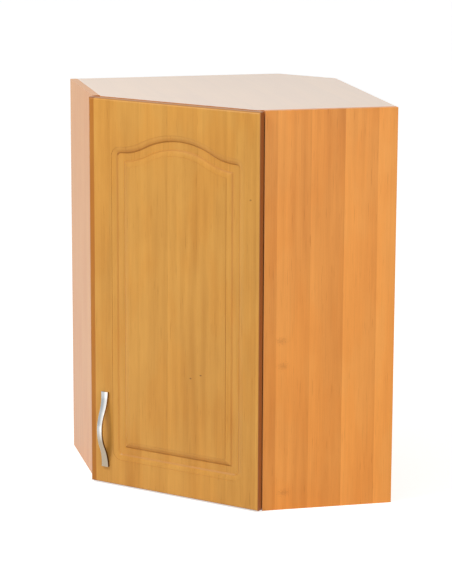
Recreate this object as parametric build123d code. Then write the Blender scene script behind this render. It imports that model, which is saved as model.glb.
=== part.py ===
"""Corner wall cabinet: five boards round a room corner, with one raised-panel door across the front.

Frame: +Z up, origin at the centre of the square plan on the underside. The two room walls are the
planes X = -plan/2 and Y = +plan/2, so the room corner is at (-X, +Y). The door faces (+X, -Y).
The carcass is a mirror image of itself about the vertical plane through the room corner.
"""
import os
from math import atan, cos, degrees, pi, radians, sin, sqrt

from build123d import *

os.makedirs("parts", exist_ok=True)

# ---- Carcass boards (mm) -------------------------------------------------------------------
plan = 600.0              # length that the cabinet takes up along each wall
height = 870.0            # overall height
side_depth = 290.0        # side panel, from the wall to its front edge
corner_cut = 110.0        # how far the room corner is cut back along each wall
board = 16.0              # faced chipboard
edge_band = 1.0           # plastic band on the front edges
front_setback = 1.5       # top and bottom panels, behind the line across the side panels
back_thickness = 3.0      # hardboard back panels
back_inset = 16.0         # hanging space between a back panel and its wall
groove_depth = 8.0        # groove that holds a back panel
groove_clearance = 0.1    # on each side of a back panel, and at its edge

# ---- Shelves and their pins ----------------------------------------------------------------
shelf_clearance = 1.0     # to the boards and backs round a shelf
shelf_setback = 24.0      # shelf front edge, behind the line across the side panels
hole_pitch = 32.0         # pitch of the rows of shelf-pin holes
first_hole = 64.0         # lowest hole of the rows, above the underside
shelf_shares = (1 / 3, 2 / 3)      # heights of the two shelves, as shares of the cabinet's
spare_steps = (-1, 1)     # spare holes above and below each used one
hole_setback = 37.0       # front row of holes, behind the side panel's front edge
rear_hole_setback = 229.0 # rear row of holes, behind the side panel's front edge
pin_r = 2.5
pin_hole_depth = 10.0
pin_reach = 7.5           # how far a pin stands out under the shelf
pin_collar_r = 4.0
pin_collar = 1.0
fit_gap = 0.1             # radial gap of dowels, pins and cams in their holes

# ---- Cam fittings and dowels ---------------------------------------------------------------
cam_r = 7.5
cam_depth = 12.5
cam_body = 12.0
cam_distance = 24.0       # from the end of the panel to the cam's axis
cam_positions = (55.0, 245.0)      # along a side panel, from the wall
dowel_positions = (87.0, 213.0)
bolt_r = 3.0              # shank of the cam bolt
bolt_thread_r = 2.5
bolt_thread = 10.0        # length screwed into the side panel
bolt_head_r = 3.2
bolt_head = 2.2
bolt_neck_r = 2.0
bolt_bore_r = 4.0
dowel_r = 4.0
dowel_length = 30.0
dowel_in_face = 10.5      # part of a dowel that sits in a board's face
dowel_end_gap = 0.5
strip_dowel_offset = 36.0 # dowels of the corner strip, each side of its middle

# ---- Door ----------------------------------------------------------------------------------
door_thickness = 16.0
door_gap = 2.0            # between the side panels' front corners and the door's back
door_end_gap = 1.0        # door ends, inside the side panels' outer corners
door_bottom = 3.0         # door's lower edge above the cabinet's underside
door_top = 1.0            # door's upper edge below the cabinet's top
door_edge_r = 5.0         # rounding of the door's front edges
panel_margin_side = 71.5  # from the door's sides to the middle of the milled groove
panel_margin_bottom = 81.0
panel_margin_peak = 89.0
panel_shift = 11.0        # the milling lies this much nearer the hinged side
arch_rise = 36.0
arch_foot_share = 0.44    # share of the half arch that curves upwards
groove_floor = 8.0        # half width of the milled groove's floor
groove_step = 3.0         # slope width of the steep step beside the floor
shoulder = 11.5           # width of the rounded shoulder each side
shoulder_drop = 3.0
rim_step = 0.6            # small upright step where the shoulder ends in the face
milling_depth = 5.8
shoulder_bulge = 0.5      # height of the shoulder's curve over a straight slope
cutter_height = 2.0       # cutting shapes stand this far out of the face

# ---- Handle --------------------------------------------------------------------------------
handle_inset = 41.0       # handle axis, from the door's free side
handle_low = 45.5         # lower handle hole, above the door's lower edge
handle_pitch = 160.0
handle_end = 6.0          # handle beyond its holes
handle_width_end = 18.0
handle_width_mid = 12.5
handle_foot = 5.5         # height of the handle's front over the door at its ends
handle_rise = 21.0        # further height at its middle
handle_strap = 5.0
handle_flat = 2.0         # flat at each end of the front
handle_top_share = 0.476  # share of the half curve that bulges outwards
handle_foot_length = 14.0
handle_crown = 1.5        # rounding of the strap's long edges
handle_screw_r = 2.0
handle_screw_depth = 4.2  # length of thread in the handle's foot
handle_screw_head_r = 4.0
handle_screw_head = 1.6

# ---- Hinges --------------------------------------------------------------------------------
hinge_from_bottom = 112.0 # lower hinge, above the cabinet's underside
hinge_from_top = 86.0     # upper hinge, below the cabinet's top
pin_along = 8.75          # hinge pin, from the side panel's outer front corner
pin_out = 10.5            # hinge pin, in front of the line across the side panels
hinge_pin_r = 1.3
hinge_pin_length = 20.0
running_gap = 0.05        # radial, between the hinge pin and the arm's eye
cup_along = 21.5          # cup axis, from the side panel's outer front corner
cup_r = 17.4
cup_depth = 13.0
cup_gap = 0.1             # round the cup, and under it, in the door
cup_floor = 1.0
pocket_r = 16.6           # inside of the cup
pocket_width = 12.0       # upright width of the slot in the cup
flange = 1.0              # rim of the cup, on the door's back
flange_r = 18.5
ear_reach = 29.0          # the flange's two ears, above and below the cup's axis
ear_width = 12.0
cup_screw_offset = 6.0    # cup screws, further from the door's edge than the cup's axis
cup_screw_pitch = 48.0
cup_screw_r = 1.75
cup_screw_length = 11.0
cup_screw_head_r = 3.4
cup_screw_head = 1.5
arm_offset = 6.0          # middle of the arm's plate, off the side panel's inner face
arm_plate = 3.0
arm_bend_r = 5.0          # gooseneck, at the middle of the plate
eye_r = 2.6
nose_width = 11.0         # upright width of the gooseneck
arm_width = 15.0          # upright width of the arm over the mounting plate
arm_skirt = 1.3           # thickness of the arm's folded sides
arm_rear = 62.0           # arm's rear end, behind the side panel's front edge
arm_front = 12.0          # front end of its wide part, in front of that edge
rail_width = 11.6
rail_height = 4.4
rail_rear = 58.0
rail_front = 18.0
wing = 1.8                # thickness of the mounting plate's wings
wing_width = 15.0
wing_reach = 24.0
euro_screw_r = 3.0
euro_screw_bore_r = 2.5
euro_screw_length = 11.0
euro_screw_head_r = 3.9
euro_screw_head = 1.5
arm_screw_back = 50.0     # fixing screw, behind the side panel's front edge
adjuster_back = 26.0      # adjusting screw, behind the side panel's front edge
arm_screw_r = 2.0
arm_screw_head_r = 3.6
arm_screw_head = 1.8
adjuster_r = 2.5

# ---- Bumpers, hangers ----------------------------------------------------------------------
bumper_r = 4.0
bumper_inset = 30.0       # from the door's free side
bumper_gap = 0.2
hanger_width = 18.0       # across the side panel's inner face
hanger_length = 59.0
hanger_height = 45.0
hanger_wall = 2.0
hanger_drop = 3.0         # below the top panel
hanger_round = 4.0
hook_thickness = 2.5
hook_reach = 13.0         # hook tip, beyond the back panel's outer face
hanger_screw_r = 3.0
hanger_screw_head_r = 4.2
hanger_screw_head = 2.5
hanger_screw_length = 14.0
hook_height = 14.0
hook_finger = 5.0
hook_drop = 28.0
hanger_peg_r = 5.0
hanger_peg = 9.0
cap_wall = 1.5
cap_depth = 6.0
cap_gap = 0.1
notch_margin = 4.0        # cut-out of the back panel round a hanger

# ---- Worked out from the sizes above -------------------------------------------------------
half = plan / 2
inner = half - board                       # inner face of a side panel
back_outer = half - back_inset             # outer face of a back panel
back_inner = back_outer - back_thickness
floor_z = board
ceiling_z = height - board
corner_line = 2 * half - corner_cut        # y - x on the cut corner's outer face
corner_a = Vector(half, half - side_depth, 0)
corner_b = Vector(side_depth - half, -half, 0)
across = (corner_a - corner_b).normalized()
outward = Vector(across.Y, -across.X, 0)
opening_width = (corner_a - corner_b).length
door_width = opening_width - 2 * door_end_gap
door_height = height - door_bottom - door_top
mirror_plane = Plane(origin=(0, 0, 0), z_dir=(1, 1, 0))
shelf_steps = [round((height * share - first_hole) / hole_pitch) for share in shelf_shares]
shelf_heights = [first_hole + hole_pitch * step for step in shelf_steps]
hinge_levels = [hinge_from_bottom, height - hinge_from_top]
door_face = Plane(
    origin=corner_b + across * door_end_gap + outward * (door_gap + door_thickness) + (0, 0, door_bottom),
    x_dir=across, z_dir=outward,
)


# ---- Helpers -------------------------------------------------------------------------------
def box_between(low, high):
    """A box from its lowest to its highest corner."""
    size = [b - a for a, b in zip(low, high)]
    return Pos(*low) * Box(*size, align=(Align.MIN, Align.MIN, Align.MIN))


def prism(points, bottom, top):
    """An upright prism on a plan outline."""
    outline = Polyline(*points, close=True)
    return Pos(0, 0, bottom) * extrude(make_face(outline), top - bottom)


def rod(start, direction, radius, length):
    """A cylinder from a point along a direction."""
    base = Plane(origin=start, z_dir=direction)
    return base * Cylinder(radius, length, align=(Align.CENTER, Align.CENTER, Align.MIN))


def on_left(shape):
    """The same piece on the left-hand side panel."""
    return mirror(shape, about=mirror_plane)


def both_sides(shapes):
    """A list of right-hand pieces, followed by their left-hand twins."""
    return shapes + [on_left(shape) for shape in shapes]


def turned(profile, start, direction):
    """A turned piece: profile lists (distance along the axis, radius) from its start."""
    points = [(0, 0)] + [(radius, along) for along, radius in profile] + [(0, profile[-1][0])]
    face = make_face(Polyline(*points, close=True))
    upright = revolve(Rot(90, 0, 0) * face, Axis.Z)
    return Plane(origin=start, z_dir=direction) * upright


def save(node, shapes):
    """Write one node, as a single solid or as a group of separate ones."""
    if isinstance(shapes, list):
        solids = [solid for shape in shapes for solid in shape.solids()]
    else:
        solids = list(shapes.solids())
    result = solids[0] if len(solids) == 1 else Compound(children=solids)
    export_step(result, f"parts/{node}.step")


# ---- Plan outlines -------------------------------------------------------------------------
def five_sided(side_gap, wall, front, cut):
    """Plan outline of a board between the sides, with the room corner cut off.

    side_gap is kept from the side panels' inner faces, wall is the rear edges' distance from
    the origin, front is the setback behind the line across the side panels, and cut is the
    setback of the corner edge from the cut corner's outer face.
    """
    side = inner - side_gap
    front_line = side_depth - front * sqrt(2)
    cut_line = corner_line - cut * sqrt(2)
    return [
        (side, side - front_line),
        (side, wall),
        (wall - cut_line, wall),
        (-wall, cut_line - wall),
        (-wall, -side),
        (front_line - side, -side),
    ]


def front_strip(side_gap, front):
    """Plan outline of the band on the front edge of a board between the sides."""
    side = inner - side_gap
    outer_line = side_depth - front * sqrt(2)
    inner_line = outer_line - edge_band * sqrt(2)
    return [
        (side, side - outer_line),
        (side, side - inner_line),
        (inner_line - side, -side),
        (outer_line - side, -side),
    ]


# ---- Places of the fittings ----------------------------------------------------------------
def side_fitting_levels():
    """Mid-heights of the bottom and top panels."""
    return (board / 2, height - board / 2)


def pin_columns():
    """Y of the two rows of shelf-pin holes in the right side panel."""
    front_edge = half - side_depth
    return (front_edge + hole_setback, front_edge + rear_hole_setback)


def hanger_box():
    """Lowest and highest corners of the right hanger's housing."""
    top = ceiling_z - hanger_drop
    low = (inner - hanger_width, back_inner - hanger_length, top - hanger_height)
    return low, (inner, back_inner, top)


def hanger_screw_levels():
    """Heights of the depth screw and the height screw."""
    low, high = hanger_box()
    return (low[2] + hanger_height * 0.3, low[2] + hanger_height * 0.7)


def hanger_pegs():
    """Places of the two pegs that hold a hanger in the side panel."""
    low, high = hanger_box()
    middle = (low[2] + high[2]) / 2
    quarter = hanger_length / 4
    return [(inner, low[1] + quarter, middle), (inner, high[1] - quarter, middle)]


# ---- Side panels ---------------------------------------------------------------------------
def side_holes():
    """Every hole in the right side panel's inner face."""
    into = (1, 0, 0)
    holes = []
    for level in side_fitting_levels():
        for place in cam_positions:
            start = (inner, half - place, level)
            holes.append(rod(start, into, bolt_thread_r + fit_gap, bolt_thread + fit_gap))
        for place in dowel_positions:
            start = (inner, half - place, level)
            holes.append(rod(start, into, dowel_r + fit_gap, dowel_in_face + dowel_end_gap))
    for row in pin_columns():
        for step in shelf_steps:
            for spare in (0,) + spare_steps:
                level = first_hole + hole_pitch * (step + spare)
                holes.append(rod((inner, row, level), into, pin_r + fit_gap, pin_hole_depth))
    for peg in hanger_pegs():
        holes.append(rod(peg, into, hanger_peg_r + fit_gap, hanger_peg + fit_gap))
    return holes


def side_panel():
    """Right side panel, grooved for the back panel and drilled on its inner face."""
    front = half - side_depth + edge_band
    panel = box_between((inner, front, 0), (half, half, height))
    groove = box_between(
        (inner, back_inner - groove_clearance, floor_z - groove_depth),
        (inner + groove_depth, back_outer + groove_clearance, ceiling_z + groove_depth),
    )
    return panel - groove - side_holes()


def side_band():
    """Edge band on the right side panel's front edge."""
    front = half - side_depth
    return box_between((inner, front, 0), (half, front + edge_band, height))


# ---- Top and bottom panels -----------------------------------------------------------------
def back_grooves(bottom, top):
    """Grooves for the two back panels in a board between the sides."""
    end = corner_line - back_inner
    rear = box_between(
        (-end, back_inner - groove_clearance, bottom),
        (inner, back_outer + groove_clearance, top),
    )
    return [rear, on_left(rear)]


def level_fittings(level, cam_mouth, cam_way):
    """Cam, bolt and dowel holes in the two ends of a board between the sides."""
    holes = []
    for place in cam_positions:
        cam_place = (inner - cam_distance, half - place, cam_mouth)
        holes.append(rod(cam_place, cam_way, cam_r + fit_gap, cam_depth))
        holes.append(rod((inner, half - place, level), (-1, 0, 0), bolt_bore_r, cam_distance))
    for place in dowel_positions:
        depth = dowel_length - dowel_in_face + dowel_end_gap
        holes.append(rod((inner, half - place, level), (-1, 0, 0), dowel_r + fit_gap, depth))
    return both_sides(holes)


def strip_dowel_places():
    """Plan places of the dowels at the ends of the corner strip."""
    middle = corner_line / 2 - board / sqrt(2) / 2
    shift = strip_dowel_offset / sqrt(2)
    return [(-middle - shift, middle - shift), (-middle + shift, middle + shift)]


def strip_dowel_holes(face, way):
    """Dowel holes for the corner strip in a level board's face."""
    depth = dowel_in_face + dowel_end_gap
    return [rod((x, y, face), way, dowel_r + fit_gap, depth) for x, y in strip_dowel_places()]


def level_panel(bottom, top, face, way):
    """Board between the sides; face is its cabinet side and way points into it."""
    outline = five_sided(0, half, front_setback + edge_band, 0)
    depth = groove_depth * way
    grooves = back_grooves(min(face, face + depth), max(face, face + depth))
    middle = (bottom + top) / 2
    holes = level_fittings(middle, face, (0, 0, way)) + strip_dowel_holes(face, (0, 0, way))
    return prism(outline, bottom, top) - grooves - holes


def top_panel():
    """Top board, its fittings in its underside."""
    return level_panel(ceiling_z, height, ceiling_z, 1)


def bottom_panel():
    """Bottom board, its fittings in its upper face."""
    return level_panel(0, floor_z, floor_z, -1)


# ---- Corner strip and backs ----------------------------------------------------------------
def corner_strip():
    """Upright board across the room corner, its ends cut square to the walls and grooved."""
    edge = half - corner_cut
    inner_line = corner_line - board * sqrt(2)
    outline = [(-half, edge), (-edge, half), (-edge, inner_line - edge), (edge - inner_line, edge)]
    strip = prism(outline, floor_z, ceiling_z)
    groove = box_between(
        (-edge - groove_depth, back_inner - groove_clearance, floor_z),
        (-edge, back_outer + groove_clearance, ceiling_z),
    )
    depth = dowel_length - dowel_in_face + dowel_end_gap
    holes = []
    for x, y in strip_dowel_places():
        holes.append(rod((x, y, floor_z), (0, 0, 1), dowel_r + fit_gap, depth))
        holes.append(rod((x, y, ceiling_z), (0, 0, -1), dowel_r + fit_gap, depth))
    middle = inner_line / 2
    for level in shelf_heights:
        start = (-middle, middle, level)
        holes.append(rod(start, (-1, 1, 0), pin_r + fit_gap, pin_hole_depth))
    return strip - [groove, on_left(groove)] - holes


def rear_back_panel():
    """Hardboard back along the wall at +Y, notched at its top corner for the hanger."""
    reach = groove_depth - groove_clearance
    sheet = box_between(
        (corner_cut - half - reach, back_inner, floor_z - reach),
        (inner + reach, back_outer, ceiling_z + reach),
    )
    low, high = hanger_box()
    notch = box_between(
        (low[0] - notch_margin, back_inner - 1, low[2] - notch_margin),
        (half, back_outer + 1, height),
    )
    return sheet - notch


# ---- Shelves -------------------------------------------------------------------------------
def shelf(level):
    """Loose shelf, resting on five pins."""
    outline = five_sided(
        shelf_clearance, back_inner - shelf_clearance, shelf_setback + edge_band,
        board + shelf_clearance,
    )
    bottom = level + pin_r
    return prism(outline, bottom, bottom + board)


def shelf_band(level):
    """Edge band on a shelf's front edge."""
    bottom = level + pin_r
    return prism(front_strip(shelf_clearance, shelf_setback), bottom, bottom + board)


def shelf_pin(start, into):
    """Turned steel pin with a thin collar against the board."""
    way = Vector(*into)
    base = Vector(*start) - way.normalized() * pin_reach
    profile = [
        (0, pin_r), (pin_reach - pin_collar, pin_r), (pin_reach - pin_collar, pin_collar_r),
        (pin_reach, pin_collar_r), (pin_reach, pin_r), (pin_reach + pin_hole_depth - 1, pin_r),
    ]
    return turned(profile, base, way)


def shelf_pins(level):
    """Four pins in the side panels and one in the corner strip."""
    side = [shelf_pin((inner, row, level), (1, 0, 0)) for row in pin_columns()]
    middle = (corner_line - board * sqrt(2)) / 2
    return both_sides(side) + [shelf_pin((-middle, middle, level), (-1, 1, 0))]


# ---- Cams, bolts and dowels ----------------------------------------------------------------
def cam_lock(place, mouth, way):
    """Cam housing with the slot that takes the bolt's head."""
    centre = (inner - cam_distance, half - place, mouth)
    body = rod(centre, (0, 0, way), cam_r, cam_body)
    middle = mouth + way * board / 2
    slot = box_between(
        (centre[0] - bolt_head_r - 1, centre[1] - bolt_head_r - 0.4, middle - bolt_head_r - 0.4),
        (centre[0] + cam_r + 1, centre[1] + bolt_head_r + 0.4, middle + bolt_head_r + 0.4),
    )
    recess = box_between(
        (centre[0] - 3.5, centre[1] - 0.6, min(mouth, mouth + way * 1.2)),
        (centre[0] + 3.5, centre[1] + 0.6, max(mouth, mouth + way * 1.2)),
    )
    return body - slot - recess


def cam_locks():
    """Cams of both side panels, in the bottom and top boards."""
    pairs = [(floor_z, -1), (ceiling_z, 1)]
    return both_sides([cam_lock(place, mouth, way) for mouth, way in pairs for place in cam_positions])


def cam_bolt(place, level):
    """Turned bolt: thread in the side panel, shank, neck and the head held by the cam."""
    start = (inner + bolt_thread, half - place, level)
    shank = bolt_thread + cam_distance - 2 * bolt_head
    profile = [
        (0, bolt_thread_r), (bolt_thread, bolt_thread_r), (bolt_thread, bolt_r),
        (shank, bolt_r), (shank, bolt_neck_r), (shank + bolt_head, bolt_neck_r),
        (shank + bolt_head, bolt_head_r), (shank + 2 * bolt_head, bolt_head_r),
    ]
    return turned(profile, start, (-1, 0, 0))


def cam_bolts():
    """Bolts of every cam."""
    return both_sides([cam_bolt(place, level) for level in side_fitting_levels() for place in cam_positions])


def dowels():
    """Beech dowels of the four side joints and of the corner strip's two ends."""
    sides = []
    for level in side_fitting_levels():
        for place in dowel_positions:
            start = (inner + dowel_in_face, half - place, level)
            sides.append(rod(start, (-1, 0, 0), dowel_r, dowel_length))
    ends = []
    for x, y in strip_dowel_places():
        ends.append(rod((x, y, floor_z - dowel_in_face), (0, 0, 1), dowel_r, dowel_length))
        ends.append(rod((x, y, ceiling_z + dowel_in_face), (0, 0, -1), dowel_r, dowel_length))
    return both_sides(sides) + ends


# ---- Door panel ----------------------------------------------------------------------------
def milling_profile(both):
    """Section of the milled groove: x across it, y out of the door's face.

    Flat floor, a steep step, then a rounded shoulder that ends in a small upright step below
    the face. With both False it is the right-hand half, for turning about the cutter's own axis.
    """
    step = groove_floor + groove_step
    edge = step + shoulder
    climb = shoulder_drop - rim_step
    bulge = shoulder_bulge / sqrt(shoulder ** 2 + climb ** 2)
    middle = (step + shoulder / 2 - climb * bulge, -rim_step - climb / 2 + shoulder * bulge)
    right = [
        Line((0, -milling_depth), (groove_floor, -milling_depth)),
        Line((groove_floor, -milling_depth), (step, -shoulder_drop)),
        ThreePointArc((step, -shoulder_drop), middle, (edge, -rim_step)),
        Line((edge, -rim_step), (edge, cutter_height)),
        Line((edge, cutter_height), (0, cutter_height)),
        Line((0, cutter_height), (0, -milling_depth)),
    ]
    face = make_face(right)
    return face + mirror(face, about=Plane.YZ) if both else face


def straight_cut(start, end):
    """Milling from one point of the door's face to another."""
    way = Vector(*end) - Vector(*start)
    side = Vector(0, 0, 1).cross(way.normalized())
    section = Plane(origin=start, x_dir=side, z_dir=way) * milling_profile(True)
    return extrude(section, way.length, dir=way.normalized())


def curved_cut(centre, radius, start_angle, turn):
    """Milling along an arc of the door's face, angles in degrees."""
    ray = Vector(cos(radians(start_angle)), sin(radians(start_angle)), 0)
    origin = Vector(*centre) + ray * radius
    section = Plane(origin=origin, x_dir=ray, z_dir=ray.cross(Vector(0, 0, 1))) * milling_profile(True)
    return revolve(section, Axis(Vector(*centre), (0, 0, 1)), turn)


def round_cut(point):
    """The cutter turned on the spot, at a corner of the milling."""
    section = Plane.XZ * milling_profile(False)
    return Pos(*point) * revolve(section, Axis.Z)


def milling():
    """The arched frame milled into the door: three straight runs, four arcs and four corners."""
    reach = door_width / 2 - panel_margin_side
    centre = door_width / 2 + panel_shift
    left = centre - reach
    right = centre + reach
    peak = door_height - panel_margin_peak
    eaves = peak - arch_rise
    bend = 2 * atan(arch_rise / reach)
    foot_r = reach * arch_foot_share / sin(bend)
    peak_r = reach * (1 - arch_foot_share) / sin(bend)
    turn = degrees(bend)
    corners = [
        (left, panel_margin_bottom, 0), (right, panel_margin_bottom, 0),
        (right, eaves, 0), (left, eaves, 0),
    ]
    cuts = [
        straight_cut(corners[0], corners[1]),
        straight_cut(corners[1], corners[2]),
        straight_cut(corners[3], corners[0]),
        curved_cut((left, eaves + foot_r, 0), foot_r, 270, turn),
        curved_cut((right, eaves + foot_r, 0), foot_r, 270 - turn, turn),
        curved_cut((centre, peak - peak_r, 0), peak_r, 90 - turn, 2 * turn),
    ]
    return [round_cut(corner) for corner in corners] + cuts


def handle_holes():
    """Places of the two handle screws on the door's face."""
    return [(handle_inset, handle_low), (handle_inset, handle_low + handle_pitch)]


def door_panel():
    """Door board with rounded front edges, the milled arch, and its fittings' holes."""
    corner = (Align.MIN, Align.MIN, Align.MAX)
    blank = Box(door_width, door_height, door_thickness, align=corner)
    blank = fillet(blank.faces().sort_by(Axis.Z)[-1].edges(), door_edge_r)
    panel = blank
    for cut in milling():
        panel = panel - cut
    for x, y in handle_holes():
        panel -= rod((x, y, -door_thickness), (0, 0, 1), handle_screw_r + fit_gap, door_thickness)
    panel = door_face * panel
    back = door_gap
    for level in hinge_levels:
        cup = hinge_spot(cup_along, back, level)
        panel -= rod(cup, outward, cup_r + cup_gap, cup_depth + cup_gap)
        for screw in cup_screw_spots(level, back):
            panel -= rod(screw, outward, cup_screw_r, cup_screw_length)
    return panel


# ---- Handle --------------------------------------------------------------------------------
def handle_curve(height):
    """S-shaped line of the handle's front, from its middle at a given height to its flat end."""
    reach = handle_pitch / 2 + handle_end - handle_flat
    bend = 2 * atan(handle_rise / reach)
    top_r = handle_top_share * reach / sin(bend)
    foot_r = (1 - handle_top_share) * reach / sin(bend)
    knee = (handle_top_share * reach, height - top_r * (1 - cos(bend)))
    foot = height - handle_rise
    foot_middle = (reach - foot_r * sin(bend / 2), foot + foot_r * (1 - cos(bend / 2)))
    return [
        ThreePointArc((-knee[0], knee[1]), (0, height), knee),
        ThreePointArc(knee, foot_middle, (reach, foot)),
        ThreePointArc((-knee[0], knee[1]), (-foot_middle[0], foot_middle[1]), (-reach, foot)),
    ]


def door_handle():
    """Bow handle: an S-curved strap, waisted at its middle, on two solid feet."""
    reach = handle_pitch / 2 + handle_end
    top = handle_foot + handle_rise
    flat = reach - handle_flat
    front = handle_curve(top) + [
        Line((flat, handle_foot), (reach, handle_foot)),
        Line((reach, handle_foot), (reach, 0)),
        Line((reach, 0), (-reach, 0)),
        Line((-reach, 0), (-reach, handle_foot)),
        Line((-reach, handle_foot), (-flat, handle_foot)),
    ]
    low = handle_foot - handle_strap
    hollow = handle_curve(top - handle_strap) + [
        Line((flat, low), (flat, -1)), Line((flat, -1), (-flat, -1)), Line((-flat, -1), (-flat, low)),
    ]
    inside = make_face(hollow) & Rectangle(2 * reach - 2 * handle_foot_length, 4 * top)
    side = Plane.YZ * (make_face(front) - inside)
    bar = extrude(side, handle_width_end, both=True)
    end = handle_width_end / 2
    waist = handle_width_mid / 2
    outline = make_face([
        ThreePointArc((end, -reach), (waist, 0), (end, reach)),
        Line((end, reach), (-end, reach)),
        ThreePointArc((-end, reach), (-waist, 0), (-end, -reach)),
        Line((-end, -reach), (end, -reach)),
    ])
    bar = bar & extrude(outline, 2 * top, both=True)
    for x, y in handle_holes():
        foot = (0, y - handle_low - handle_pitch / 2, 0)
        bar -= rod(foot, (0, 0, 1), handle_screw_r + fit_gap, handle_screw_depth)
    crown = [edge for edge in bar.edges() if is_front_edge(edge)]
    bar = fillet(crown, handle_crown)
    return door_face * Pos(handle_inset, handle_low + handle_pitch / 2, 0) * bar


def is_front_edge(edge):
    """True for the long edges round the handle's front surface."""
    middle = edge.center()
    return edge.length > 30 and abs(middle.X) > 1 and middle.Z > handle_crown_from(middle.Y)


def handle_crown_from(y):
    """Height between the handle's back and front lines at a distance from its middle."""
    share = min(1, abs(y) / (handle_pitch / 2 + handle_end))
    return handle_foot + handle_rise * (1 + cos(pi * share)) / 2 - handle_strap / 2


def handle_screws():
    """Pan-head screws through the door into the handle's feet."""
    length = door_thickness + handle_screw_depth
    profile = [
        (0, handle_screw_head_r), (handle_screw_head, handle_screw_head_r),
        (handle_screw_head, handle_screw_r), (handle_screw_head + length - 0.3, handle_screw_r),
    ]
    start = -door_thickness - handle_screw_head
    return [door_face * turned(profile, (x, y, start), (0, 0, 1)) for x, y in handle_holes()]


def door_bumpers():
    """Soft round bumpers on the door's back, against the top and bottom panels' edges."""
    length = door_gap + front_setback - bumper_gap
    heights = (board / 2 - door_bottom, door_height + door_top - board / 2)
    return [
        door_face * rod((bumper_inset, y, -door_thickness), (0, 0, -1), bumper_r, length) for y in heights
    ]


# ---- Hinges --------------------------------------------------------------------------------
def hinge_spot(along, out, level):
    """A point measured along the opening from its hinged end, and out in front of it."""
    return corner_a - across * along + outward * out + Vector(0, 0, level)


def hinge_plan(level):
    """Work plane of a hinge: x along the opening from its hinged end, y out in front of it."""
    return Plane(origin=corner_a + Vector(0, 0, level), x_dir=-across, z_dir=(0, 0, 1))


def cup_screw_spots(level, out):
    """Places of a cup's two screws."""
    along = cup_along + cup_screw_offset
    return [hinge_spot(along, out, level + side * cup_screw_pitch / 2) for side in (-1, 1)]


def hinge_cup(level):
    """Cup pressed into the door, with a slot for the gooseneck and an eared rim."""
    face = hinge_spot(cup_along, door_gap - flange, level)
    body = rod(face, outward, cup_r, cup_depth + flange) + rod(face, outward, flange_r, flange)
    ears = Box(ear_width, flange, 2 * ear_reach, align=(Align.CENTER, Align.MIN, Align.CENTER))
    ears = fillet(ears.edges().filter_by(Axis.Y), ear_width / 2 - 1)
    body += hinge_plan(level) * Pos(cup_along + cup_screw_offset, door_gap - flange, 0) * ears
    pocket = rod(face, outward, pocket_r, cup_depth + flange - cup_floor)
    slot = Box(2 * cup_r, 4 * cup_depth, pocket_width)
    body -= pocket & (hinge_plan(level) * Pos(cup_along, 0, 0) * slot)
    for screw in cup_screw_spots(level, door_gap - flange):
        body -= rod(screw, outward, cup_screw_r + fit_gap, flange)
    bore = hinge_spot(pin_along, pin_out, level - cup_r)
    return body - rod(bore, (0, 0, 1), hinge_pin_r, 2 * cup_r)


def hinge_pin(level):
    """Steel pin through the cup and the arm's eye."""
    foot = hinge_spot(pin_along, pin_out, level - hinge_pin_length / 2)
    return rod(foot, (0, 0, 1), hinge_pin_r, hinge_pin_length)


def gooseneck():
    """Plan outline of the arm's plate, from over the mounting plate to the pin."""
    forward = Vector(1, 1, 0) / sqrt(2)
    off = Vector(1, -1, 0) / sqrt(2)
    corner = off * board
    start = pin_out - arm_bend_r * (1 + sin(pi / 4))
    run = (start - corner.Y) * sqrt(2) + arm_offset
    nose = corner + forward * run + off * arm_offset
    middle = Vector(nose.X - arm_bend_r * cos(pi / 4), pin_out - arm_bend_r, 0)
    rear = corner - forward * arm_rear + off * arm_offset
    thick = arm_plate / 2
    inner_r = arm_bend_r - thick
    outer_r = arm_bend_r + thick
    crest = Vector(cos(pi / 8), sin(pi / 8), 0)
    up = Vector(0, 1, 0)
    return make_face([
        Line(rear - off * thick, nose - off * thick),
        ThreePointArc(nose - off * thick, middle + crest * inner_r, middle + up * inner_r),
        Line(middle + up * inner_r, (pin_along, pin_out - thick)),
        Line((pin_along, pin_out - thick), (pin_along, pin_out + thick)),
        Line((pin_along, pin_out + thick), middle + up * outer_r),
        ThreePointArc(middle + up * outer_r, middle + crest * outer_r, nose + off * thick),
        Line(nose + off * thick, rear + off * thick),
        Line(rear + off * thick, rear - off * thick),
    ])


def hinge_arm(level):
    """Gooseneck arm: a folded plate over the mounting plate, and a neck that ends in the eye."""
    front = half - side_depth
    neck = extrude(gooseneck(), nose_width / 2, both=True)
    neck += Pos(pin_along, pin_out, 0) * Cylinder(eye_r, nose_width)
    neck -= Pos(pin_along, pin_out, 0) * Cylinder(hinge_pin_r + running_gap, nose_width)
    arm = hinge_plan(level) * neck
    low = inner - arm_offset - arm_plate / 2
    high = low + arm_plate
    arm += box_between(
        (low, front - arm_front, level - arm_width / 2), (high, front + arm_rear, level + arm_width / 2),
    )
    for side in (-1, 1):
        outer = level + side * arm_width / 2
        edges = sorted((outer, outer - side * arm_skirt))
        arm += box_between((high, front, edges[0]), (inner - wing - fit_gap * 4, front + arm_rear, edges[1]))
    fixing = rod((low, front + arm_screw_back, level), (1, 0, 0), arm_screw_r + fit_gap, arm_plate)
    adjuster = rod((low, front + adjuster_back, level), (1, 0, 0), adjuster_r, arm_plate)
    return arm - fixing - adjuster


def plate_screw_spots(level):
    """Heights of a mounting plate's two screws, on the pitch of the pin holes."""
    return [level - hole_pitch / 2, level + hole_pitch / 2]


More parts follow.
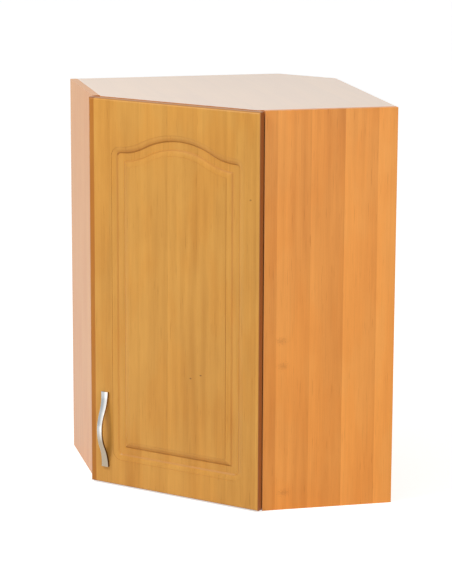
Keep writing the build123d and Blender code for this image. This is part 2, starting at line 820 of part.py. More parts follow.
def mounting_plate(level):
    """Plate with two wings and a rail, on the right side panel's inner face."""
    row = pin_columns()[0]
    plate = box_between(
        (inner - wing, row - wing_width / 2, level - wing_reach),
        (inner, row + wing_width / 2, level + wing_reach),
    )
    plate = fillet(plate.edges().filter_by(Axis.X), wing_width / 2 - 1)
    front = half - side_depth
    plate += box_between(
        (inner - rail_height, front + rail_front, level - rail_width / 2),
        (inner, front + rail_rear, level + rail_width / 2),
    )
    for height_of_screw in plate_screw_spots(level):
        plate -= rod((inner, row, height_of_screw), (-1, 0, 0), euro_screw_r + fit_gap, wing)
    place = (inner - rail_height, front + arm_screw_back, level)
    return plate - rod(place, (1, 0, 0), arm_screw_r, rail_height - 0.4)


def plate_screws():
    """Euro screws of both mounting plates."""
    row = pin_columns()[0]
    profile = [
        (0, euro_screw_head_r), (euro_screw_head, euro_screw_head_r), (euro_screw_head, euro_screw_r),
        (euro_screw_head + wing, euro_screw_r), (euro_screw_head + wing, euro_screw_bore_r),
        (euro_screw_head + wing + euro_screw_length - 0.5, euro_screw_bore_r),
    ]
    start = inner - wing - euro_screw_head
    return [
        turned(profile, (start, row, spot), (1, 0, 0))
        for level in hinge_levels for spot in plate_screw_spots(level)
    ]


def cup_screws():
    """Screws of both cups."""
    profile = [
        (0, cup_screw_head_r), (cup_screw_head, cup_screw_head_r), (cup_screw_head, cup_screw_r),
        (cup_screw_head + cup_screw_length, cup_screw_r),
    ]
    out = door_gap - flange - cup_screw_head
    return [turned(profile, spot, outward) for level in hinge_levels for spot in cup_screw_spots(level, out)]


def arm_screws():
    """Fixing screw and adjusting screw of both arms."""
    front = half - side_depth
    low = inner - arm_offset - arm_plate / 2
    reach = arm_offset + arm_plate / 2 - 0.5
    profile = [
        (0, arm_screw_head_r), (arm_screw_head, arm_screw_head_r), (arm_screw_head, arm_screw_r),
        (arm_screw_head + reach, arm_screw_r),
    ]
    screws = []
    for level in hinge_levels:
        screws.append(turned(profile, (low - arm_screw_head, front + arm_screw_back, level), (1, 0, 0)))
        screws.append(rod((low - 1, front + adjuster_back, level), (1, 0, 0), adjuster_r, arm_plate + 1))
    return screws


def hinge_side_holes():
    """Holes for the mounting plates' screws in the right side panel."""
    row = pin_columns()[0]
    return [
        rod((inner, row, spot), (1, 0, 0), euro_screw_bore_r, euro_screw_length)
        for level in hinge_levels for spot in plate_screw_spots(level)
    ]


# ---- Hangers -------------------------------------------------------------------------------
def hook_sheet():
    """X of the two faces of the right hanger's hook."""
    low, high = hanger_box()
    middle = (low[0] + high[0]) / 2
    return middle - hook_thickness / 2, middle + hook_thickness / 2


def hanger_housing():
    """Moulded housing on the right side panel, open at the rear for the hook."""
    low, high = hanger_box()
    shell = box_between(low, high)
    faces = hook_sheet()
    cavity = box_between(
        (faces[0] - fit_gap, low[1] + hanger_wall, low[2] + hanger_wall),
        (faces[1] + fit_gap, high[1], high[2] - hanger_wall),
    )
    shell -= cavity
    middle = (faces[0] + faces[1]) / 2
    for level in hanger_screw_levels():
        shell -= rod((middle, low[1], level), (0, 1, 0), hanger_screw_r, hanger_screw_length)
    pegs = [rod(peg, (1, 0, 0), hanger_peg_r, hanger_peg) for peg in hanger_pegs()]
    return shell + pegs


def hanger_hook():
    """Steel hook that hangs on the wall rail, its tip turned down behind the back panel."""
    low, high = hanger_box()
    faces = hook_sheet()
    front = low[1] + hanger_wall + hanger_screw_length
    tip = back_outer + hook_reach
    top = high[2] - hanger_wall - 1
    blade = box_between((faces[0], front, top - hook_height), (faces[1], tip, top))
    finger = box_between((faces[0], tip - hook_finger, top - hook_drop), (faces[1], tip, top))
    return blade + finger


def hanger_screws():
    """Depth and height screws in the front of the right hanger."""
    low, high = hanger_box()
    faces = hook_sheet()
    middle = (faces[0] + faces[1]) / 2
    profile = [
        (0, hanger_screw_head_r), (hanger_screw_head, hanger_screw_head_r),
        (hanger_screw_head, hanger_screw_r), (hanger_screw_head + hanger_screw_length, hanger_screw_r),
    ]
    start = low[1] - hanger_screw_head
    return [turned(profile, (middle, start, level), (0, 1, 0)) for level in hanger_screw_levels()]


def hanger_cap():
    """Cover that clips over the front of the right hanger."""
    low, high = hanger_box()
    margin = cap_gap + cap_wall
    outside = box_between(
        (low[0] - margin, low[1] - cap_depth, low[2] - margin), (inner, low[1] + cap_depth, high[2] + margin),
    )
    outside = fillet(outside.edges().filter_by(Axis.Y).group_by(Axis.X)[0], cap_wall)
    inside = box_between(
        (low[0] - cap_gap, low[1] - cap_depth + cap_wall, low[2] - cap_gap),
        (inner, low[1] + cap_depth, high[2] + cap_gap),
    )
    return outside - inside


# ---- Write the carcass ---------------------------------------------------------------------
right_side = side_panel()
save("right_side_panel", right_side - hinge_side_holes())
save("left_side_panel", on_left(right_side))
save("right_side_edge_band", side_band())
save("left_side_edge_band", on_left(side_band()))
save("top_panel", top_panel())
save("bottom_panel", bottom_panel())
save("top_edge_band", prism(front_strip(0, front_setback), ceiling_z, height))
save("bottom_edge_band", prism(front_strip(0, front_setback), 0, floor_z))
save("corner_strip", corner_strip())
save("rear_back_panel", rear_back_panel())
save("left_back_panel", on_left(rear_back_panel()))
for name, level in zip(("lower", "upper"), shelf_heights):
    save(f"{name}_shelf", shelf(level))
    save(f"{name}_shelf_edge_band", shelf_band(level))
    save(f"{name}_shelf_pins", shelf_pins(level))
save("cam_locks", cam_locks())
save("cam_bolts", cam_bolts())
save("dowels", dowels())

# ---- Write the door, the hinges and the hangers --------------------------------------------
save("door_panel", door_panel())
save("door_handle", door_handle())
save("handle_screws", handle_screws())
save("door_bumpers", door_bumpers())
for name, level in zip(("lower", "upper"), hinge_levels):
    save(f"{name}_hinge_cup", hinge_cup(level))
    save(f"{name}_hinge_pin", hinge_pin(level))
    save(f"{name}_hinge_arm", hinge_arm(level))
    save(f"{name}_mounting_plate", mounting_plate(level))
save("plate_screws", plate_screws())
save("cup_screws", cup_screws())
save("arm_screws", arm_screws())
for name, shape in (("housing", hanger_housing()), ("hook", hanger_hook()), ("cap", hanger_cap())):
    save(f"right_hanger_{name}", shape)
    save(f"left_hanger_{name}", on_left(shape))
save("hanger_screws", both_sides(hanger_screws()))
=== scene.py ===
from math import cos, pi, radians, sin

import bpy
from mathutils import Matrix, Vector


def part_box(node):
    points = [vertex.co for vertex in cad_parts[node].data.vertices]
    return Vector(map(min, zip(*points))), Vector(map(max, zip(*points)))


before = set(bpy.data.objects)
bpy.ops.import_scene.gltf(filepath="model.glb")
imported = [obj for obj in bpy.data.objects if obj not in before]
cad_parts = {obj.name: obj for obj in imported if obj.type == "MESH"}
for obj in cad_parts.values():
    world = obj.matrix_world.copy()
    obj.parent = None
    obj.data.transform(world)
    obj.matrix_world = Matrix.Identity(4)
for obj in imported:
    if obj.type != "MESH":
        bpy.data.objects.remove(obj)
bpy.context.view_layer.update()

# ---- Side panels ---------------------------------------------------------------------------
# Two upright boards of chipboard, faced with a satin melamine foil. The foil is printed as alder
# glued up from planks, with soft upright streaks and a few small knots. Cam bolts and dowels join
# the boards to the level ones between them.


def feed(tree, slot, value):
    """Links a socket into an input, or sets the input to a number, a vector or a colour."""
    if isinstance(value, bpy.types.NodeSocket):
        tree.links.new(value, slot)
    else:
        slot.default_value = (*value, 1) if slot.type == "RGBA" else value


def mixed(tree, kind, factor, a, b):
    """Colour a blended with colour b by the factor. Inputs 6 and 7 and output 2 are the colours."""
    mix = tree.nodes.new("ShaderNodeMix")
    mix.data_type = "RGBA"
    mix.blend_type = kind
    for slot, value in ((0, factor), (6, a), (7, b)):
        feed(tree, mix.inputs[slot], value)
    return mix.outputs[2]


def maths(tree, kind, *values):
    """One operation on sockets or numbers."""
    made = tree.nodes.new("ShaderNodeMath")
    made.operation = kind
    for slot, value in zip(made.inputs, values):
        feed(tree, slot, value)
    return made.outputs[0]


def times(tree, a, b):
    """a times b."""
    return maths(tree, "MULTIPLY", a, b)


def total(tree, *values):
    """All values added up."""
    added = values[0]
    for value in values[1:]:
        added = maths(tree, "ADD", added, value)
    return added


def one_less(tree, value):
    """1 minus the value."""
    return maths(tree, "SUBTRACT", 1.0, value)


def vector_maths(tree, kind, *vectors):
    """One operation on vectors: the outputs "Vector" and "Value"."""
    made = tree.nodes.new("ShaderNodeVectorMath")
    made.operation = kind
    for slot, vector in zip(made.inputs, vectors):
        feed(tree, slot, vector)
    return made.outputs


def towards(tree, vector, direction):
    """How far a vector goes in a direction: their dot product."""
    return vector_maths(tree, "DOT_PRODUCT", vector, direction)["Value"]


def stretched(tree, vector, across, along):
    """The vector with its X and Y scaled by across and its Z by along."""
    return vector_maths(tree, "MULTIPLY", vector, (across, across, along))["Vector"]


def noise(tree, vector, across, along, detail, rough):
    """Noise from 0 to 1, with about across blots to the metre in X and Y, and along in Z."""
    made = tree.nodes.new("ShaderNodeTexNoise")
    made.inputs["Scale"].default_value = 1.0
    made.inputs["Detail"].default_value = detail
    made.inputs["Roughness"].default_value = rough
    tree.links.new(stretched(tree, vector, across, along), made.inputs["Vector"])
    return made.outputs["Fac"]


def ramped(tree, value, low, high):
    """The value mapped from low..high to 0..1, with soft ends."""
    made = tree.nodes.new("ShaderNodeMapRange")
    made.interpolation_type = "SMOOTHSTEP"
    made.inputs["From Min"].default_value = low
    made.inputs["From Max"].default_value = high
    tree.links.new(value, made.inputs["Value"])
    return made.outputs["Result"]


def new_group(name, inputs, outputs):
    """An empty node group, its inputs and its outputs, given as a kind of socket for each name."""
    group = bpy.data.node_groups.new(name, "ShaderNodeTree")
    for in_out, sockets in (("INPUT", inputs), ("OUTPUT", outputs)):
        for socket, kind in sockets.items():
            group.interface.new_socket(socket, in_out=in_out, socket_type=f"NodeSocket{kind}")
    given = group.nodes.new("NodeGroupInput").outputs
    return group, given, group.nodes.new("NodeGroupOutput").inputs


def placed(tree, group, values):
    """The outputs of a node group placed in a tree with its own values."""
    node = tree.nodes.new("ShaderNodeGroup")
    node.node_tree = group
    for name, value in values.items():
        feed(tree, node.inputs[name], value)
    return node.outputs


def alder_group():
    """Printed alder grain along Z.

    The foil repeats in planks. With t = (x + y + a slow wander) / plank width, the fraction of t
    shades each plank from pale to deep, and its whole part picks the plank's own tone. Year rings
    are the sine of the distance from Z, bent by noise, and show in patches only. Streaks, clouds,
    fibres, pores and dashes are noises drawn out along Z, each cut to a range. Knots are spots
    round the points of a cell pattern. Their sum mixes the light colour with the dark one, and a
    last noise warms the colour in patches. The height falls where fibres and pores are.
    """
    group, given, out = new_group(
        "alder_grain",
        {"Vector": "Vector", "Light": "Color", "Dark": "Color", "Plank width": "Float",
         "Planks": "Float", "Figure": "Float", "Streaks": "Float", "Pores": "Float", "Knots": "Float"},
        {"Color": "Color", "Height": "Float"},
    )
    place = given["Vector"]

    def drawn(across, along, detail, rough, low, high):
        """A noise drawn out along Z, with its range low..high mapped to 0..1."""
        return ramped(group, noise(group, place, across, along, detail, rough), low, high)

    wander = times(group, noise(group, place, 2.0, 1.5, 1.0, 0.5), 0.004)
    distance = total(group, towards(group, place, (1, 1, 0)), wander)
    count = maths(group, "DIVIDE", distance, given["Plank width"])
    own = group.nodes.new("ShaderNodeTexWhiteNoise")
    own.noise_dimensions = "1D"
    group.links.new(maths(group, "FLOOR", count), own.inputs["W"])
    slope = times(group, maths(group, "FRACT", count), 0.7)
    planks = total(group, slope, times(group, own.outputs["Value"], 0.3))
    planks = times(group, planks, given["Planks"])

    rings = group.nodes.new("ShaderNodeTexWave")
    rings.wave_type = "RINGS"
    rings.rings_direction = "Z"
    rings.inputs["Scale"].default_value = 13.0
    rings.inputs["Distortion"].default_value = 9.0
    rings.inputs["Detail"].default_value = 3.0
    rings.inputs["Detail Scale"].default_value = 0.5
    group.links.new(stretched(group, place, 1.0, 0.2), rings.inputs["Vector"])
    patch = drawn(5.0, 1.6, 2.0, 0.5, 0.42, 0.62)
    figure = times(group, times(group, rings.outputs["Fac"], patch), given["Figure"])

    broad = drawn(24.0, 3.2, 3.0, 0.6, 0.32, 0.68)
    narrow = drawn(110.0, 3.5, 3.0, 0.65, 0.36, 0.7)
    clouds = drawn(9.0, 7.0, 2.0, 0.5, 0.35, 0.65)
    streaks = total(group, times(group, broad, 0.45), times(group, narrow, 0.3), times(group, clouds, 0.25))
    streaks = times(group, streaks, given["Streaks"])

    fibres = times(group, drawn(480.0, 8.0, 3.0, 0.6, 0.35, 0.7), 0.1)
    specks = drawn(1000.0, 45.0, 1.0, 0.5, 0.64, 0.74)
    dashes = drawn(330.0, 16.0, 1.0, 0.5, 0.66, 0.76)
    pores = times(group, total(group, times(group, specks, 0.5), dashes), given["Pores"])

    cells = group.nodes.new("ShaderNodeTexVoronoi")
    cells.inputs["Scale"].default_value = 1.0
    group.links.new(stretched(group, place, 7.5, 4.0), cells.inputs["Vector"])
    core = one_less(group, ramped(group, cells.outputs["Distance"], 0.0, 0.05))
    halo = one_less(group, ramped(group, cells.outputs["Distance"], 0.0, 0.16))
    knots = times(group, total(group, core, times(group, halo, 0.3)), given["Knots"])

    depth = total(group, planks, figure, streaks, fibres, pores, knots)
    colour = mixed(group, "MIX", depth, given["Light"], given["Dark"])
    warm = drawn(16.0, 5.0, 2.0, 0.5, 0.45, 0.62)
    feed(group, out["Color"], mixed(group, "MULTIPLY", warm, colour, (1.0, 0.955, 0.87)))
    feed(group, out["Height"], one_less(group, total(group, fibres, pores)))
    return group


def knot_group():
    """One small ragged knot.

    The distance from its place, with heights counted half as much again, is divided by its size
    and raised by noise. The mask falls from 1 to 0 where that passes from 1.1 to 1.9.
    """
    group, given, out = new_group(
        "small_knot", {"Vector": "Vector", "Place": "Vector", "Size": "Float"}, {"Mask": "Float"})
    offset = vector_maths(group, "SUBTRACT", given["Vector"], given["Place"])["Vector"]
    away = vector_maths(group, "LENGTH", stretched(group, offset, 1.0, 1.5))["Value"]
    ragged = times(group, noise(group, given["Vector"], 300.0, 420.0, 3.0, 0.7), 2.4)
    reach = total(group, maths(group, "DIVIDE", away, given["Size"]), ragged)
    feed(group, out["Mask"], ramped(group, reach, 1.9, 1.1))
    return group


alder_grain = alder_group()
small_knot = knot_group()


def new_material(name):
    """A new material, its node tree and its shader."""
    made = bpy.data.materials.new(name)
    made.use_nodes = True
    return made, made.node_tree, made.node_tree.nodes["Principled BSDF"]


def coordinate(tree, kind):
    """The "Object" coordinate or the "Normal" of the piece."""
    return tree.nodes.new("ShaderNodeTexCoord").outputs[kind]


def emboss(tree, shader, height, depth):
    """Lifts the surface by depth where the height is 1."""
    relief = tree.nodes.new("ShaderNodeBump")
    relief.inputs["Strength"].default_value = 1.0
    relief.inputs["Distance"].default_value = depth
    tree.links.new(height, relief.inputs["Height"])
    tree.links.new(relief.outputs["Normal"], shader.inputs["Normal"])


def wood(name, light, dark, shift, turn=(0, 0, 0), plank_width=0.073, planks=0.42, figure=0.2,
         streaks=0.36, pores=0.24, knots=0.4, relief=0.00003, roughness=0.42, specular=0.3,
         coat=0.0, coat_roughness=0.16):
    """A wood foil: the grain on Object coordinates, turned by degrees and shifted by metres."""
    made, tree, shader = new_material(name)
    place = tree.nodes.new("ShaderNodeMapping")
    place.inputs["Location"].default_value = shift
    place.inputs["Rotation"].default_value = [radians(angle) for angle in turn]
    tree.links.new(coordinate(tree, "Object"), place.inputs["Vector"])
    grain = placed(tree, alder_grain, {
        "Vector": place.outputs["Vector"], "Light": light, "Dark": dark, "Plank width": plank_width,
        "Planks": planks, "Figure": figure, "Streaks": streaks, "Pores": pores, "Knots": knots})
    feed(tree, shader.inputs["Base Color"], grain["Color"])
    emboss(tree, shader, grain["Height"], relief)
    shader.inputs["Roughness"].default_value = roughness
    shader.inputs["Specular IOR Level"].default_value = specular
    shader.inputs["Coat Weight"].default_value = coat
    shader.inputs["Coat Roughness"].default_value = coat_roughness
    return made


def opened(material):
    """A material's node tree, its shader and the socket that gives its colour so far."""
    tree = material.node_tree
    shader = tree.nodes["Principled BSDF"]
    return tree, shader, shader.inputs["Base Color"].links[0].from_socket


def knotted(material, places, size, depth, colour):
    """Mixes a colour into a material, by depth, in small knots at the given places."""
    for place in places:
        tree, shader, before = opened(material)
        here = {"Vector": coordinate(tree, "Object"), "Place": place, "Size": size}
        mask = times(tree, placed(tree, small_knot, here)["Mask"], depth)
        feed(tree, shader.inputs["Base Color"], mixed(tree, "MIX", mask, before, colour))
    return material


def dress(nodes, material):
    """Gives CAD nodes their finish."""
    for name in nodes:
        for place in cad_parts[name].material_slots:
            place.material = material


alder_light = (0.96, 0.397, 0.080)
alder_dark = (0.56, 0.175, 0.020)

# The right panel's first plank joint is 30 mm from its front edge. The number of that joint picks
# the tones of the planks, and the heart of the year rings lies 45 mm outside the face.
right_face_x = 0.3
first_joint_y = 0.04
joint_number = 61
right_plank = 0.0737
heart_x = 0.345
right_shift_y = joint_number * right_plank - first_joint_y - right_face_x + heart_x
right_board = wood("alder_right_side", alder_light, alder_dark, (-heart_x, right_shift_y, -0.43),
                   plank_width=right_plank, planks=0.43, figure=0.14, streaks=0.22, pores=0.26, knots=0.08)
right_knots = [(right_face_x, 0.0506, 0.375), (right_face_x, 0.0546, 0.32), (right_face_x, 0.0573, 0.038)]
knot_brown = (0.46, 0.14, 0.02)
dress(["right_side_panel"], knotted(right_board, right_knots, size=0.024, depth=0.42, colour=knot_brown))

# The left panel has the same foil under a thin gloss. Its light tone is set darker than the right panel's,
# as painted shade.
left_shaded_light = (0.73, 0.33, 0.085)
left_board = wood("alder_left_side", left_shaded_light, alder_dark, (0.14, 0.345, -0.3), (2.0, 0, 0),
                  planks=0.1, streaks=0.25, pores=0.1, knots=0.1, coat=0.25)
dress(["left_side_panel"], left_board)

# ---- Top, bottom and shelves ---------------------------------------------------------------
# Boards of the same faced chipboard lying flat, cut to the five-sided plan, with their grain from
# side to side. Cams draw the top and bottom against the side panels, and the shelves lie loose on
# pins. The top's upper face has the same foil, painted paler there as a painted sheen, under a coat
# with a broad sheen.

grain_on_x = (0, 90, 0)
skyward = (0, 0, 1)
top_painted_sheen = (0.83, 0.76, 0.67)
top_board = wood("alder_top", alder_light, alder_dark, (-0.9, 0.1, 0.0), grain_on_x, planks=0.25,
                 figure=0.12, streaks=0.35, pores=0.08, knots=0.1, specular=0.1, coat_roughness=0.45)
tree, shader, grain_colour = opened(top_board)
# Faces that look up get a painted sheen: their grain is mixed towards a pale cream. The coat on them is
# gloss from the shader.
upward = ramped(tree, towards(tree, coordinate(tree, "Normal"), skyward), 0.4, 0.9)
sheen_painted_colour = mixed(tree, "MIX", times(tree, upward, 0.75), grain_colour, top_painted_sheen)
feed(tree, shader.inputs["Base Color"], sheen_painted_colour)
feed(tree, shader.inputs["Coat Weight"], upward)
dress(["top_panel"], top_board)
dress(["bottom_panel"], wood("alder_bottom", alder_light, alder_dark, (0.05, -0.12, 0.5), grain_on_x))
dress(["lower_shelf"], wood("alder_lower_shelf", alder_light, alder_dark, (-0.35, 0.2, 0.2), grain_on_x))
dress(["upper_shelf"], wood("alder_upper_shelf", alder_light, alder_dark, (-0.62, -0.2, 0.9), grain_on_x))

# ---- Corner strip --------------------------------------------------------------------------
# One upright strip of the same board, set across the cut-off room corner. Dowels hold it between
# the top and the bottom.

dress(["corner_strip"], wood("alder_corner_strip", alder_light, alder_dark, (0.21, -0.2, 0.1)))

# ---- Edge bands ----------------------------------------------------------------------------
# Millimetre-thick plastic strips, printed to match the boards and a little glossier, glued to
# their front edges.

band_light = (0.76, 0.31, 0.085)
band_dark = (0.58, 0.19, 0.04)
upright_bands = wood("upright_edge_band", band_light, band_dark, (0.1, 0.4, 0.3), roughness=0.3, knots=0.0)
level_bands = wood("level_edge_band", band_light, band_dark, (0.2, 0.1, 0.3), grain_on_x,
                   roughness=0.3, knots=0.0)
dress(["right_side_edge_band", "left_side_edge_band"], upright_bands)
dress(["top_edge_band", "bottom_edge_band", "lower_shelf_edge_band", "upper_shelf_edge_band"], level_bands)

# ---- Back panels ---------------------------------------------------------------------------
# Two sheets of thin hardboard, slid into grooves of the boards round them. They are printed in a
# pale and matt alder tone.

back_light = (0.74, 0.40, 0.17)
back_dark = (0.60, 0.28, 0.10)
back_board = wood("printed_hardboard", back_light, back_dark, (0.3, 0.3, 0.1), roughness=0.6, knots=0.0)
dress(["rear_back_panel", "left_back_panel"], back_board)

# ---- Door ----------------------------------------------------------------------------------
# Fibreboard with an arched frame milled into its face and rounded front edges. A satin alder
# foil, yellower than the carcass, is pressed over it. Painted shade darkens its steep steps and
# edges, the slopes of its milling that look down and its end at the hinges. A band along its free
# edge is darker too.

door_light = (0.77, 0.392, 0.081)
door_dark = (0.51, 0.218, 0.031)
plain_upward = (0.60, 0.28, 0.055)
# The steep, downward and hinge-end tints are painted shade.
steep_shade_tint = (0.74, 0.62, 0.50)
downward_shade_tint = (0.82, 0.74, 0.56)
free_edge_tint = (0.71, 0.53, 0.31)
hinge_end_shade_tint = (0.56, 0.36, 0.24)
door_board = 0.016
rolled_edge = 0.0125

# The door looks along +X -Y, and along it runs level from the handle's side to the hinges. Its
# box has the lowest X at the back of the free end and the lowest Y at the front of it.
slant = sin(pi / 4)
outward = (slant, -slant, 0)
along = (slant, slant, 0)
door_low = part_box("door_panel")[0]
free_end = (sum(door_low[:2]) / slant + door_board) / 2
rolled_to = free_end + rolled_edge

door_foil = wood("door_foil", door_light, door_dark, (-0.13, 0.25, -0.1), plank_width=0.105, planks=0.26,
                 streaks=0.42, pores=0.30, knots=0.1, roughness=0.36)
tree, shader, grain_colour = opened(door_foil)
normal = coordinate(tree, "Normal")
spot = coordinate(tree, "Object")
facing_up = towards(tree, normal, skyward)
upward = ramped(tree, facing_up, 0.4, 0.9)
steep = ramped(tree, one_less(tree, towards(tree, normal, outward)), 0.1, 0.6)
above_edge = ramped(tree, towards(tree, spot, skyward), door_low[2] + 0.02, door_low[2] + 0.04)
under = times(tree, ramped(tree, facing_up, -0.12, -0.36), above_edge)
at_side = ramped(tree, towards(tree, spot, along), rolled_to + 0.0015, rolled_to - 0.0005)
at_end = ramped(tree, towards(tree, normal, along), 0.7, 0.95)

# Faces that look up show no grain. Painted shade darkens the steep steps and edges, the slopes of
# the milling that look down and the end at the hinges. The rolled free edge is darker as well.
foil = mixed(tree, "MIX", upward, grain_colour, plain_upward)
darker = ((steep, steep_shade_tint), (under, downward_shade_tint), (at_side, free_edge_tint), (at_end, hinge_end_shade_tint))
for mask, tint in darker:
    foil = mixed(tree, "MULTIPLY", mask, foil, tint)
feed(tree, shader.inputs["Base Color"], foil)

pin_knots = [(0.1907, -0.1248, 0.2751), (0.2088, -0.1066, 0.2853), (0.2962, -0.0193, 0.6813)]
pin_brown = (0.16, 0.05, 0.012)
dress(["door_panel"], knotted(door_foil, pin_knots, size=0.005, depth=0.9, colour=pin_brown))

# ---- Handle --------------------------------------------------------------------------------
# Cast zinc bow, ground and bright-plated: a clear, slightly soft reflection with fine polishing
# lines along its length. Two screws from behind the door hold it by its feet.


def plating_group():
    """Plated metal, polished along Z.

    A cloudy noise dims the colour by up to 6 parts in 100 and moves the roughness by up to 0.05
    either way. The height is a fine noise drawn out along Z.
    """
    group, given, out = new_group(
        "plating",
        {"Vector": "Vector", "Color": "Color", "Roughness": "Float"},
        {"Color": "Color", "Roughness": "Float", "Height": "Float"},
    )
    cloud = noise(group, given["Vector"], 60.0, 60.0, 2.0, 0.5)
    dimmed = mixed(group, "MULTIPLY", one_less(group, cloud), given["Color"], (0.94, 0.94, 0.94))
    change = times(group, maths(group, "SUBTRACT", cloud, 0.5), 0.1)
    feed(group, out["Color"], dimmed)
    feed(group, out["Roughness"], total(group, given["Roughness"], change))
    feed(group, out["Height"], noise(group, given["Vector"], 1500.0, 60.0, 2.0, 0.6))
    return group


plating = plating_group()


def metal(name, colour, roughness, grind):
    """Plated metal with grinding marks of the given depth."""
    made, tree, shader = new_material(name)
    finish = placed(tree, plating, {
        "Vector": coordinate(tree, "Object"), "Color": colour, "Roughness": roughness})
    feed(tree, shader.inputs["Base Color"], finish["Color"])
    feed(tree, shader.inputs["Roughness"], finish["Roughness"])
    emboss(tree, shader, finish["Height"], grind)
    shader.inputs["Metallic"].default_value = 1.0
    return made


# The tones stand in for the room that the real handle mirrors: cool above its waist and warm
# below, bright on the upper half's hinge side, and dark on the flank towards the hinges.
warm_tint = (0.88, 0.74, 0.56)
bright_white = (0.86, 0.85, 0.82)
dark_flank_tint = (0.38, 0.28, 0.19)
plated_grey = (0.44, 0.46, 0.47)
handle_low, handle_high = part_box("door_handle")
middle_line = (handle_high[0] + handle_low[1]) * slant
waist = (handle_low[2] + handle_high[2]) / 2

bow_metal = metal("plated_handle", plated_grey, roughness=0.2, grind=0.000006)
tree, shader, cool = opened(bow_metal)
spot = coordinate(tree, "Object")
upper = ramped(tree, towards(tree, spot, skyward), waist - 0.03, waist + 0.01)
far_side = ramped(tree, towards(tree, spot, along), middle_line - 0.002, middle_line + 0.005)
flank = ramped(tree, towards(tree, coordinate(tree, "Normal"), along), 0.5, 0.95)
toned = mixed(tree, "MULTIPLY", one_less(tree, upper), cool, warm_tint)
toned = mixed(tree, "MIX", times(tree, far_side, upper), toned, bright_white)
toned = mixed(tree, "MULTIPLY", flank, toned, dark_flank_tint)
feed(tree, shader.inputs["Base Color"], toned)
dress(["door_handle"], bow_metal)

# ---- Screws, pins and hooks ----------------------------------------------------------------
# Small turned or pressed steel parts, zinc plated to a pale, slightly cloudy grey. They are
# screwed or pushed into bores of the boards and fittings.

zinc = metal("zinc_plate", (0.60, 0.60, 0.58), roughness=0.38, grind=0.00001)
dress(["handle_screws", "cup_screws", "arm_screws", "plate_screws", "cam_bolts", "lower_shelf_pins",
       "upper_shelf_pins", "hanger_screws", "right_hanger_hook", "left_hanger_hook"], zinc)

# ---- Hinges --------------------------------------------------------------------------------
# Pressed and nickel-plated steel. A cup is let into the door's back, a plate is screwed to the
# right side panel, and the gooseneck arm on the plate turns on the cup's pin.

nickel = metal("nickel_plate", (0.66, 0.64, 0.60), roughness=0.26, grind=0.000005)
dress(["lower_hinge_cup", "upper_hinge_cup", "lower_hinge_arm", "upper_hinge_arm", "lower_mounting_plate",
       "upper_mounting_plate", "lower_hinge_pin", "upper_hinge_pin"], nickel)

# ---- Cams ----------------------------------------------------------------------------------
# Drums of cast zinc, left matt and grey, let into the top and bottom boards. Half a turn draws
# the bolts in the side panels tight.

dress(["cam_locks"], metal("cast_zinc", (0.46, 0.46, 0.45), roughness=0.5, grind=0.00003))

# ---- Dowels --------------------------------------------------------------------------------
# Raw beech pegs, glued into bores: eight in the joints of the side panels, and four that hold the
# corner strip.

beech_light = (0.72, 0.50, 0.29)
beech_dark = (0.52, 0.32, 0.15)
beech = wood("raw_beech", beech_light, beech_dark, (0.5, 0.2, 0.1), grain_on_x, roughness=0.75, knots=0.0)
dress(["dowels"], beech)

# ---- Bumpers and hangers -------------------------------------------------------------------
# Clear soft dots stuck to the door's back, and the moulded plastic housings and caps of the two
# hangers, plugged into the upper corners of the side panels.


def moulding_group():
    """Moulded plastic: a cloudy noise dims the colour by up to 7 parts in 100, and the height is
    the fine noise of a spark-eroded mould."""
    group, given, out = new_group(
        "moulding", {"Vector": "Vector", "Color": "Color"}, {"Color": "Color", "Height": "Float"})
    cloud = noise(group, given["Vector"], 40.0, 40.0, 2.0, 0.5)
    dimmed = mixed(group, "MULTIPLY", one_less(group, cloud), given["Color"], (0.93, 0.93, 0.93))
    feed(group, out["Color"], dimmed)
    feed(group, out["Height"], noise(group, given["Vector"], 2200.0, 2200.0, 2.0, 0.6))
    return group


moulding = moulding_group()


def moulded(name, colour, roughness, texture):
    """Moulded plastic with a texture of the given depth."""
    made, tree, shader = new_material(name)
    finish = placed(tree, moulding, {"Vector": coordinate(tree, "Object"), "Color": colour})
    feed(tree, shader.inputs["Base Color"], finish["Color"])
    emboss(tree, shader, finish["Height"], texture)
    shader.inputs["Roughness"].default_value = roughness
    return made


soft_plastic = moulded("soft_bumper", (0.72, 0.71, 0.66), roughness=0.4, texture=0.000005)
hard_plastic = moulded("hanger_plastic", (0.80, 0.78, 0.73), roughness=0.45, texture=0.00002)
dress(["door_bumpers"], soft_plastic)
dress(["right_hanger_housing", "left_hanger_housing", "right_hanger_cap", "left_hanger_cap"], hard_plastic)

# ---- Floor ---------------------------------------------------------------------------------
# A plain pale floor, wide enough for every view. It glows for the camera and in reflections only,
# so it looks white there and still keeps a soft shadow.

floor_reach = 30
floor_glow = 0.62
corners = [(-floor_reach, -floor_reach, 0), (floor_reach, -floor_reach, 0),
           (floor_reach, floor_reach, 0), (-floor_reach, floor_reach, 0)]
floor = bpy.data.meshes.new("floor")
floor.from_pydata(corners, [], [(0, 1, 2, 3)])
ground = bpy.data.objects.new("floor", floor)
bpy.context.scene.collection.objects.link(ground)
pale, tree, shader = new_material("pale_floor")
rays = tree.nodes.new("ShaderNodeLightPath")
seen = maths(tree, "MAXIMUM", rays.outputs["Is Camera Ray"], rays.outputs["Is Glossy Ray"])
speck = noise(tree, coordinate(tree, "Object"), 40.0, 40.0, 2.0, 0.5)
tone = mixed(tree, "MIX", speck, (0.80, 0.80, 0.80), (0.83, 0.83, 0.83))
feed(tree, shader.inputs["Base Color"], tone)
feed(tree, shader.inputs["Emission Strength"], times(tree, seen, floor_glow))
shader.inputs["Emission Color"].default_value = (1, 1, 1, 1)
shader.inputs["Roughness"].default_value = 0.9
shader.inputs["Specular IOR Level"].default_value = 0.1
floor.materials.append(pale)

# ---- Room and lamps ------------------------------------------------------------------------
# A white room, dim for the light that it sheds and full white where the camera or a reflection
# sees it. A small lamp stands high on the left, and a wide, weaker one on the right.

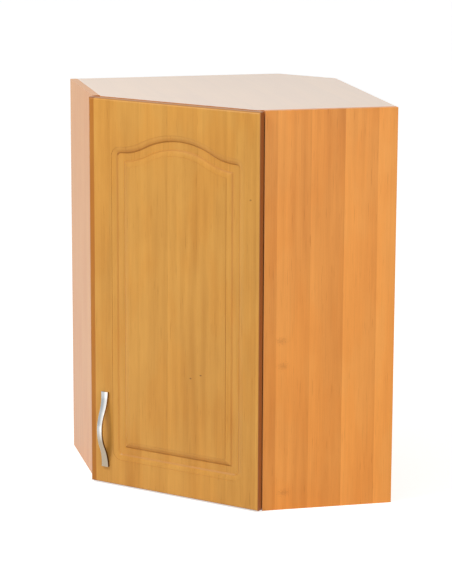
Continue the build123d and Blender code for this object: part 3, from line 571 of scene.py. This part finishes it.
room_light = 0.45
cabinet_middle = Vector((0, 0, 0.45))
room = bpy.data.worlds.new("white_room")
bpy.context.scene.world = room
room.use_nodes = True
tree = room.node_tree
back = tree.nodes["Background"]
back.inputs["Color"].default_value = (1, 1, 1, 1)
rays = tree.nodes.new("ShaderNodeLightPath")
seen = maths(tree, "MAXIMUM", rays.outputs["Is Camera Ray"], rays.outputs["Is Glossy Ray"])
seen = maths(tree, "MAXIMUM", seen, rays.outputs["Is Transmission Ray"])
strength = tree.nodes.new("ShaderNodeMapRange")
strength.inputs["To Min"].default_value = room_light
tree.links.new(seen, strength.inputs["Value"])
tree.links.new(strength.outputs["Result"], back.inputs["Strength"])


def lamp(name, place, size, power, colour):
    """A square lamp at a place, turned to the middle of the cabinet."""
    light = bpy.data.lights.new(name, "AREA")
    light.shape = "SQUARE"
    light.size = size
    light.energy = power
    light.color = colour
    made = bpy.data.objects.new(name, light)
    bpy.context.scene.collection.objects.link(made)
    made.location = place
    made.rotation_mode = "QUATERNION"
    made.rotation_quaternion = (cabinet_middle - Vector(place)).to_track_quat("-Z", "Y")


lamp("key", (0.9, -2.7, 3.3), size=0.8, power=74, colour=(1.0, 0.99, 0.97))
lamp("fill", (3.6, 1.6, 1.4), size=2.4, power=46, colour=(1.0, 0.99, 0.98))

# ---- Camera --------------------------------------------------------------------------------
# A long lens at the photograph's place. Its heading, tilt and roll were fitted to the corners of
# the cabinet in the photograph.

focal_length = 149.0
sensor_width = 36
camera_place = (5.1497, -1.2094, 1.5794)
heading, tilt, roll = radians(166.803), radians(-12.359), radians(0.232)
eye = bpy.data.cameras.new("camera")
eye.sensor_width = sensor_width
eye.lens = focal_length
eye.clip_end = 100
camera = bpy.data.objects.new("camera", eye)
bpy.context.scene.collection.objects.link(camera)
ahead = Vector((cos(heading) * cos(tilt), sin(heading) * cos(tilt), sin(tilt)))
right = ahead.cross(Vector((0, 0, 1))).normalized()
up = right.cross(ahead)
right, up = right * cos(roll) + up * sin(roll), up * cos(roll) - right * sin(roll)
turned = Matrix((right, up, -ahead)).transposed().to_4x4()
camera.matrix_world = Matrix.Translation(camera_place) @ turned
bpy.context.scene.camera = camera
bpy.context.scene.view_settings.view_transform = "Standard"
